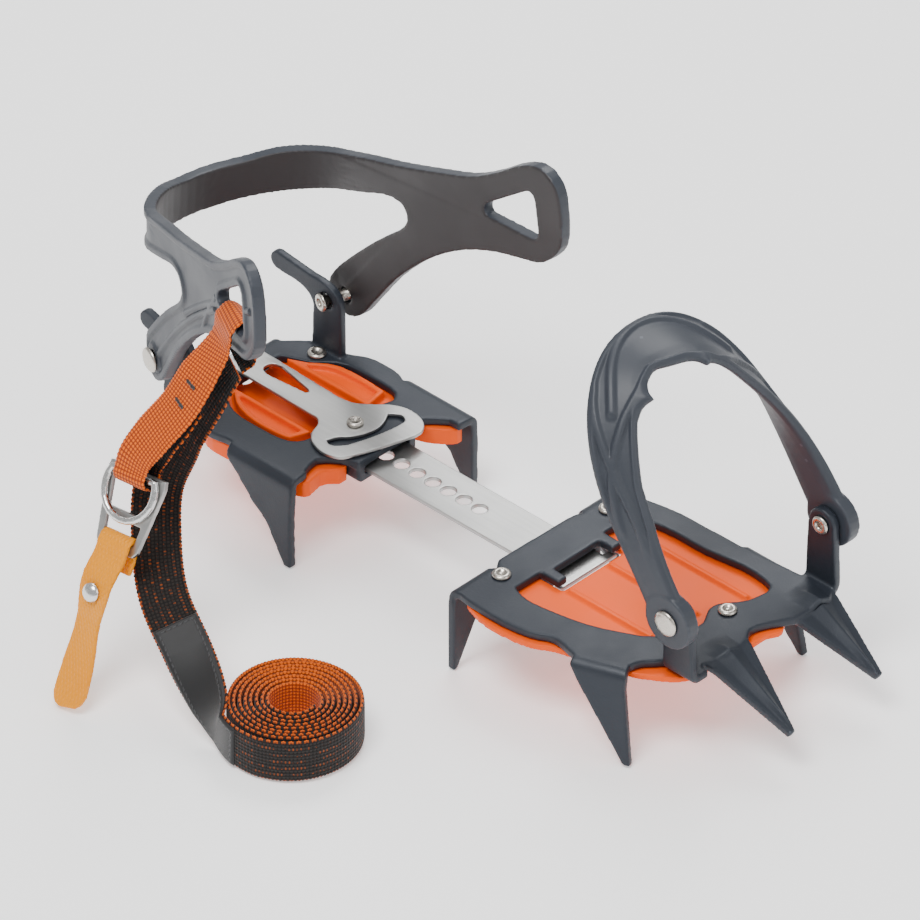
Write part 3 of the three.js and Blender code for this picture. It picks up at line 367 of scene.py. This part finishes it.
def pressed_toe(points, normals):
    """Raised spines down the two front points."""
    moved = points.copy()
    for middle, start in spine_roots:
        along = (points[:, 0] - start) / (spine_tip - start)
        half = spine_half * (1 - 0.93 * np.clip(along, 0, 1))
        ridge = np.clip(1 - np.abs(points[:, 1] - middle) / half, 0, 1)
        reach = smoothstep(along / 0.25) * (along < 1.02)
        upper = smoothstep((normals[:, 2] - 0.4) / 0.3)
        moved[:, 2] += spine_height * ridge * reach * upper
    return moved, np.zeros(len(points))


formed("front_plate", paint, 0.42, 10, pressed_toe)
formed("rear_plate", paint, 0.42, 10)
formed("front_antiball_plate", orange, 0.5, 3)
formed("rear_antiball_plate", orange, 0.42, 3)
formed("spring_leaf", stainless, 0.26, 2)
formed("link_bar", stainless, 0.3, 2)

# ---------------------------------------------------------------- toe bail
bail_tilt = math.radians(33)
bail_ends = (-26.8, 50.6)                      # y of each arm's middle at the pivots
bail_height = 82
bail_roundness = 2 / 2.3
toe_pivot = np.array([157.0, sum(bail_ends) / 2, 56.0])

# the inner edge's stand-out by degrees round the arch, as in the CAD model but without its two hooks
plain_edge = [(0, 0), (20, -2.5), (30, -4.6), (50, -5), (76, -3.6), (84, -0.5), (99, 3.6), (113, 4.6),
              (132, 3.2), (156, 0), (180, 0)]
# each rib's first and last degrees from the nearer pivot, and its place from outer edge 0 to inner edge 1 there
bail_ribs = ((10, 64, 0.72, 0.08), (16, 72, 0.2, 1.0), (50, 92, 0.5, 0.08))


def bail_line(count=400):
    """Places along the arch, as the CAD model has them, with the section's directions and half width."""
    rise = np.array([-math.sin(bail_tilt), 0, math.cos(bail_tilt)])
    facing = np.array([math.cos(bail_tilt), 0, math.sin(bail_tilt)])
    a = np.linspace(0, math.pi, count)
    side = -np.sign(np.cos(a)) * np.abs(np.cos(a)) ** bail_roundness * (bail_ends[1] - bail_ends[0]) / 2
    up = np.maximum(np.sin(a), 0) ** bail_roundness * bail_height
    places = toe_pivot + side[:, None] * np.array([0, 1.0, 0]) + up[:, None] * rise
    tangents = np.gradient(places, axis=0)
    tangents /= np.linalg.norm(tangents, axis=1)[:, None]
    inward = -np.cross(facing, tangents)
    lean = math.pi / 2 + (0.86 - math.pi / 2) * smoothstep((np.sin(a) - 0.05) / 0.7)
    wide = inward * np.cos(lean)[:, None] + facing * np.sin(lean)[:, None]
    half = (17 + 5.5 * smoothstep((np.sin(a) - 0.1) / 0.8)) / 2
    return a, places, wide, np.cross(tangents, wide), half


def nearest(places, points):
    """For each point, the number of the nearest place and its distance."""
    tree = kdtree.KDTree(len(places))
    for i, place in enumerate(places):
        tree.insert(place, i)
    tree.balance()
    return np.array([tree.find(point)[1:] for point in points])


def moulded_bail(points, normals):
    """A sunk outer face between two rims, crossed by long ribs."""
    a, places, wide, thick, half = bail_line()
    index = nearest(places, points)[:, 0].astype(int)
    offset = points - places[index]
    across = np.einsum("ij,ij->i", offset, wide[index])
    away = np.einsum("ij,ij->i", places[index] - (toe_pivot + [0, 0, 25]), thick[index])
    outward = thick[index] * np.sign(away)[:, None]
    outer = smoothstep((np.einsum("ij,ij->i", normals, outward) - 0.5) / 0.3)
    angle = np.degrees(a[index])
    inner = half[index] + np.interp(angle, *zip(*plain_edge))
    inside = np.minimum(inner - across, half[index] + across)
    from_end = np.minimum(angle, 180 - angle)
    ends = smoothstep((from_end - 12) / 8)
    sunk = smoothstep((inside - 1.8) / 1.2)
    share = (across + half[index]) / (inner + half[index])
    ribs = np.zeros(len(points))
    for start, stop, begin, finish in bail_ribs:
        t = (from_end - start) / (stop - start)
        line = begin + (finish - begin) * smoothstep(t)
        off = np.abs(share - line) * (inner + half[index])
        fade = smoothstep(t / 0.08) * smoothstep((1 - t) / 0.08)
        ribs = np.maximum(ribs, (1 - smoothstep((off - 0.6) / 1.5)) * fade)
    height = -1.1 * sunk * (1 - ribs) * ends * outer
    return points + outward * height[:, None], np.zeros(len(points))


formed("toe_bail", moulded, 0.5, 3, moulded_bail)

# ---------------------------------------------------------------- heel cradle
heel_turn = math.radians(-16.2)
heel_pivot = np.array([-57.9, -1.6, 53.5])
cradle_back, cradle_half, cradle_flare, back_power = 30.0, 36.6, 0.19, 1.8
ahead = np.array([math.cos(heel_turn), math.sin(heel_turn), 0])
leftward = np.array([-math.sin(heel_turn), math.cos(heel_turn), 0])
# each rib's ends, as distance ahead of the hinge line and height above it
arm_ribs = (((2, 2), (64, 64)), ((22, 8), (60, 40)), ((34, 42), (100, 88)), ((48, 32), (66, 70)),
            ((66, 40), (104, 66)))


def moulded_cradle(points, normals):
    """A rim all round the outer face, crossing ribs on the arms, and a plain darker inner face."""
    local = points - heel_pivot
    x, y, z = local @ ahead, local @ leftward, local[:, 2]
    side = np.sign(y)
    bent = x < 0
    nx = np.where(bent, -(np.abs(x) / cradle_back) ** (back_power - 1) / cradle_back, -cradle_flare)
    ny = np.where(bent, side * (np.abs(y) / cradle_half) ** (back_power - 1) / cradle_half, side)
    outward = nx[:, None] * ahead + ny[:, None] * leftward
    outward /= np.linalg.norm(outward, axis=1)[:, None]
    facing = np.einsum("ij,ij->i", normals, outward)
    walls = points[np.abs(facing) < 0.45]
    depth = np.zeros(len(points))
    outer = facing > 0.55
    depth[outer] = nearest(walls, points[outer])[:, 1]
    height = -0.85 * smoothstep((depth - 2.0) / 1.2)
    ribs = np.zeros(len(points))
    for (x0, z0), (x1, z1) in arm_ribs:
        reach = math.hypot(x1 - x0, z1 - z0)
        ux, uz = (x1 - x0) / reach, (z1 - z0) / reach
        t = (x - x0) * ux + (z - z0) * uz
        bow = 3.0 * np.sin(np.clip(t / reach, 0, 1) * math.pi)
        off = np.abs((x - x0) * -uz + (z - z0) * ux - bow)
        ribs = np.maximum(ribs, (1 - smoothstep((off - 0.5) / 0.9)) * (t > -2) * (t < reach + 2))
    height *= 1 - ribs
    return points + outward * height[:, None], smoothstep((-facing - 0.2) / 0.4)


formed("heel_cradle", moulded, 0.5, 4, moulded_cradle)

# ---------------------------------------------------------------- rivets and the locking pin
plate_top = 33.0
up = (0, 0, 1)


def plate_rivet(node, x, y, low):
    """A rivet with its domed, dimpled head on the plate and its closing head at the height low."""
    top = plate_top + 0.3
    profile = [(0.05, low - 1), (2.8, low - 1), (3.1, low - 0.4), (3.1, low), (1.7, low), (1.7, top),
               (3.25, top), (3.25, top + 0.35), (2.9, top + 0.9), (2.2, top + 1.15), (1.5, top + 1.0),
               (1.25, top + 0.55), (0.05, top + 0.5)]
    spun(node, rivet_steel, profile, (x, y, 0), up)


plate_rivet("front_plate_rivet_near_rear", 79.6, -25.7, 27.2)
plate_rivet("front_plate_rivet_far_rear", 80, 25, 27.2)
plate_rivet("front_plate_rivet_front", 146.4, 11.6, 27.2)
plate_rivet("rear_plate_rivet_far", -51, 20.9, 23.1)
plate_rivet("rear_plate_rivet_near", -63, -20.4, 23.1)
leaf_rivet_profile = [(0.05, 28.7), (2.8, 28.7), (3, 29), (3, 29.7), (1.7, 29.7), (1.7, 34.9), (3.2, 34.9),
                      (3.1, 35.3), (2.6, 35.8), (0.05, 36)]
spun("spring_leaf_rivet", rivet_steel, leaf_rivet_profile, (-66.5, 1, 0), up)
lock_pin_profile = [(0.05, 27), (1.7, 27), (2.25, 27.8), (2.25, 33), (1.8, 33.1), (1.8, 34.9), (2.9, 34.9),
                    (2.9, 35.4), (2.6, 35.85), (1.4, 36), (1.2, 35.7), (0.05, 35.7)]
spun("lock_pin", rivet_steel, lock_pin_profile, (-12.6, 0, 0), up)


def pivot_rivet(node, base, inward, reach, head):
    """A domed head at the base, and a rolled eyelet at the other end."""
    crown = [(0.05, -1.5), (head * 0.55, -1.5), (head * 0.8, -1.4), (head * 0.95, -1.1), (head, -0.6),
             (head, -0.3)]
    eye = [(3.3, reach + 0.3), (3.3, reach + 0.7), (2.9, reach + 1.2), (2.1, reach + 1.35), (1.45, reach + 1.1),
           (1.3, reach + 0.4), (1.3, reach - 1.6), (0.05, reach - 1.6)]
    spun(node, rivet_steel, crown + [(2.2, -0.3), (2.2, reach + 0.3)] + eye, base, inward)


pivot_rivet("toe_bail_rivet_near", (157, -29.3, 56), (0, 1, 0), 8.3, 4.6)
pivot_rivet("toe_bail_rivet_far", (157, 53.1, 56), (0, -1, 0), 8.3, 4.6)
heel_outer, heel_reach = 39.7, 13.7
pivot_rivet("heel_cradle_rivet_near", heel_pivot - leftward * heel_outer, leftward, heel_reach, 4.4)
pivot_rivet("heel_cradle_rivet_far", heel_pivot + leftward * heel_outer, -leftward, heel_reach, 4.4)


# ---------------------------------------------------------------- webbing
def spline(stops):
    """The same centripetal curve as the CAD model's, as a function of 0 to 1."""
    points = [np.asarray(p, float) for p in stops]
    points = [2 * points[0] - points[1], *points, 2 * points[-1] - points[-2]]

    def at(t):
        place = t * (len(stops) - 1)
        i = min(int(place), len(stops) - 2)
        p = points[i:i + 4]
        gaps = [max(np.linalg.norm(p[k + 1] - p[k]), 1e-4) ** 0.5 for k in range(3)]
        m1 = (p[1] - p[0]) / gaps[0] - (p[2] - p[0]) / (gaps[0] + gaps[1]) + (p[2] - p[1]) / gaps[1]
        m2 = (p[2] - p[1]) / gaps[1] - (p[3] - p[1]) / (gaps[1] + gaps[2]) + (p[3] - p[2]) / gaps[2]
        m1, m2 = m1 * gaps[1], m2 * gaps[1]
        w = place - i
        return (p[1] + m1 * w + (-3 * p[1] + 3 * p[2] - 2 * m1 - m2) * w ** 2
                + (2 * p[1] - 2 * p[2] + m1 + m2) * w ** 3)
    return at


def strip_line(stops, step):
    """Evenly spaced rows along a strap, through stops of place, width direction and width. Each row has its
    distance along, place, across and outward directions, width, and place in the list of stops."""
    curve = spline([s[0] for s in stops])
    fine = np.linspace(0, 1, 60 * len(stops))
    places = np.array([curve(t) for t in fine])
    run = np.concatenate([[0], np.cumsum(np.linalg.norm(np.diff(places, axis=0), axis=1))])
    v = np.linspace(0, run[-1], round(run[-1] / step))
    t = np.interp(v, run, fine)
    places = np.array([np.interp(v, run, places[:, k]) for k in range(3)]).T
    tangents = np.gradient(places, axis=0)
    tangents /= np.linalg.norm(tangents, axis=1)[:, None]
    knots = np.linspace(0, 1, len(stops))
    units = np.array([np.array(s[1]) / np.linalg.norm(s[1]) for s in stops])
    wide = np.array([np.interp(t, knots, units[:, k]) for k in range(3)]).T
    wide -= tangents * np.einsum("ij,ij->i", wide, tangents)[:, None]
    wide /= np.linalg.norm(wide, axis=1)[:, None]
    width = np.interp(t, knots, [s[2] for s in stops])
    return v, places, wide, np.cross(tangents, wide), width, t * (len(stops) - 1)


def closed_strip(name, line, half, across, material, **fields):
    """A closed two-sided strip. half and across are each point's offsets outward and along the width."""
    _, places, wide, normal = line[:4]
    points = places[:, None, :] + across[:, :, None] * wide[:, None, :] + half[:, :, None] * normal[:, None, :]
    fields = {field: np.broadcast_to(values, half.shape).ravel() for field, values in fields.items()}
    return mesh_object(name, points.reshape(-1, 3), tube_faces(*half.shape), material, **fields)


def woven(name, line, outward_is_orange, thickness=1.4, columns=40, rib=0.2):
    """A strap with cross ribs broken into yarns on both faces, and soft scalloped edges."""
    v, width = line[0], line[4]
    columns = round(columns / coarse)
    u = np.linspace(-1, 1, columns)
    u = np.sin(u * math.pi / 2) * 0.3 + u * 0.7
    ring_u = np.concatenate([u, u[::-1][1:-1]])
    ring_side = np.concatenate([np.ones(columns), -np.ones(columns - 2)])
    across = ring_u[None, :] * (width / 2 - 0.15 + 0.15 * np.cos(2 * math.pi * v / rib_pitch))[:, None]
    profile = np.sqrt(np.clip(1 - np.abs(ring_u) ** 8, 0, 1))
    yarns = 0.55 + 0.45 * np.cos(math.pi * across / yarn_pitch) ** 2
    weave = np.abs(np.cos(math.pi * v / rib_pitch))[:, None] * yarns
    half = ring_side * profile * ((thickness - rib) / 2 + rib * (weave - 0.3))
    on_orange = ((ring_side > 0) == outward_is_orange) & (np.abs(ring_u) < 0.985)
    return closed_strip(name, line, half, across, cloth, u=across, v=v[:, None], side=on_orange[None, :],
                        rim=smoothstep((np.abs(ring_u) - 0.93) / 0.05)[None, :])


# directions of the strap's width: level, along the window's bar, along the ring, and across the view
level = (0.99, -0.05, 0.05)
hang_wide = (0.88, -0.45, 0.13)
ring_wide = (0.996, 0.048, 0.076)
across_view = (0.72, 0.69, 0)
strap_width = 17


def run_of(wide, width, *places):
    return [(place, wide, width) for place in places]


# over the bar of the window, down to the ring, round its wire, and back up behind itself
front_stops = [
    *run_of(hang_wide, strap_width, (7.2, -75.3, 109.5), (8.8, -72.2, 112.1), (9.1, -71.7, 119.5),
            (9.1, -71.7, 126.1), (7.3, -75.1, 129.1), (5.6, -78.5, 126.1), (4.9, -79.8, 119.5)),
    *run_of(level, strap_width, (4, -89.4, 110), (1.4, -96, 99.6), (-4.4, -103.2, 88)),
    *run_of(ring_wide, 14.6, (-7.8, -107.6, 80)),
    *run_of(ring_wide, 14, (-8.3, -109.2, 75.6), (-8.1, -110.3, 73.4), (-8, -109.9, 71.1), (-7.9, -107.8, 69.5),
            (-8, -105.3, 68.7), (-8.2, -103.6, 70.5), (-8.7, -101.6, 75.1)),
    *run_of(level, strap_width, (-4.6, -99.6, 85.6), (-0.6, -96.6, 93), (2.2, -92.6, 100.6)),
]

# The tail runs down to the ground and then winds on itself, so that both are one strap.
tail_stops = [
    *run_of(hang_wide, strap_width, (6.9, -76, 107.5)),
    *run_of(level, strap_width, (3.6, -82.5, 100), (-3.5, -87.5, 83)),
    *run_of(across_view, strap_width, (-10.6, -94, 61), (-3.5, -102.7, 46)),
    *run_of((0.66, 0.74, 0.1), strap_width, (8, -111.2, 34)),
    *run_of((0.47, 0.81, 0.36), strap_width, (25, -117.4, 23.6)),
    *run_of((0.25, 0.45, 0.85), strap_width, (41.4, -123.4, 14.4)),
    *run_of(up, 16.6, (49.2, -126.8, 9.8), (57, -129, 8.7)),
]
label_places = (5.5, 9.24)   # between which stops of the tail the label lies
roll_centre, roll_inner, roll_outer, roll_turns = (61.6, -105.1), 7.7, 23.0, 8.3
stops_a_turn = 30
for k in range(round(roll_turns * stops_a_turn)):
    turned = k / stops_a_turn
    away = roll_outer + (roll_inner - roll_outer) * turned / roll_turns + 0.1 * math.sin(turned * 21)
    away += 1.1 * math.exp(-6 * turned)   # the tail runs on from just outside the roll
    heading = 2 * math.pi * turned + math.radians(-80)
    x = roll_centre[0] + away * math.cos(heading)
    y = roll_centre[1] + away * math.sin(heading)
    z = 8.5 + 0.2 * math.sin(turned * 5.6 + 0.5)
    tail_stops += run_of(up, 16.6, (x, y, z))
row_step = 0.3 * coarse
front_line = strip_line(front_stops, row_step)
strap_front = stand_in(woven("strap_front_webbing", front_line, True), "strap_front")
tail_line = strip_line(tail_stops, row_step)
strap_tail = stand_in(woven("strap_tail_webbing", tail_line, False, 1.45, 30), "strap_tail", "strap_roll")


def sewn_label():
    """The label lies on the tail's outer face and is drawn in along its edges."""
    rows = (tail_line[5] >= label_places[0]) & (tail_line[5] <= label_places[1])
    v, places, wide, normal, width = (part[rows] for part in tail_line[:5])
    columns = 24
    u = np.linspace(-1, 1, columns)
    ring_u = np.concatenate([u, u[::-1]])
    outer = np.concatenate([np.ones(columns), np.zeros(columns)])
    half_width = (width / 2 - 0.6)[:, None]
    across = ring_u[None, :] * half_width
    to_end = np.minimum(v - v[0], v[-1] - v)[:, None]
    end = np.minimum(half_width - np.abs(across), to_end)
    half = 0.82 + outer * 0.75 * np.sqrt(smoothstep((end + 0.05) / 0.9)) + 0.05 * outer * np.sin(v[:, None] / 4)
    line = (v, places, wide, normal)
    return closed_strip("label", line, half, across, label_cloth, u=across, v=v[:, None], end=end)


def bar_tack(name, v_at):
    """A short zigzag of thread across the front layer, at a distance along it."""
    v, places, wide, normal = front_line[:4]
    data = bpy.data.curves.new(name, "CURVE")
    data.dimensions = "3D"
    data.bevel_depth = 0.00028
    data.bevel_resolution = 2
    stitches, half_length, half_height, slant = 23, 2.4, 0.42, 0.6
    path = data.splines.new("POLY")
    path.points.add(stitches - 1)
    for k in range(stitches):
        share = k / (stitches - 1)
        row = v_at + slant * share + (half_height if k % 2 else -half_height)
        i = int(np.argmin(np.abs(v - row)))
        place = places[i] + wide[i] * half_length * (2 * share - 1) + normal[i] * 0.84
        path.points[k].co = (*metres(place), 1)
    data.materials.append(thread)
    tack = put(data, name)
    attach(tack, body_of["strap_front"])
    return tack


# the tacks go through the leg that hangs in front, which is lower than the window's bar
leg = slice(0, len(front_line[0]) // 2)
in_front = front_line[1][leg, 1] <= -84
for number, height in enumerate((107.0, 100.5), 1):
    misses = np.where(in_front, np.abs(front_line[1][leg, 2] - height), np.inf)
    bar_tack(f"bar_tack_{number}", front_line[0][leg][int(np.argmin(misses))])

label = stand_in(sewn_label(), "strap_label")
formed("pull_tab", tab_plastic, 0.32, 3)
formed("d_ring", ring_steel, 0.28, 4)
formed("buckle_plate", stainless, 0.28, 2)
tab_rivet_profile = [(0.05, 0), (3.4, 0), (3.35, 0.5), (2.9, 1.2), (2.1, 1.75), (1.2, 2.05), (0.05, 2.15)]
spun("pull_tab_rivet", ring_steel, tab_rivet_profile, (-6, -130.5, 38.2), (0, -0.93, 0.37))

# ---------------------------------------------------------------- floor
floor_shader = Shader("floor", Roughness=0.9, Emission_Color=(1, 1, 1), Emission_Strength=0.4)
floor_shader.set(Base_Color=floor_shader.mix(floor_shader.noise(3, 2), (0.93, 0.93, 0.93), (0.95, 0.95, 0.95)))
floor_reach, floor_height = 6000, -0.3
corners = [(x * floor_reach, y * floor_reach, floor_height) for x, y in ((-1, -1), (1, -1), (1, 1), (-1, 1))]
floor = mesh_object("floor", corners, [(0, 1, 2, 3)], floor_shader.material, False)
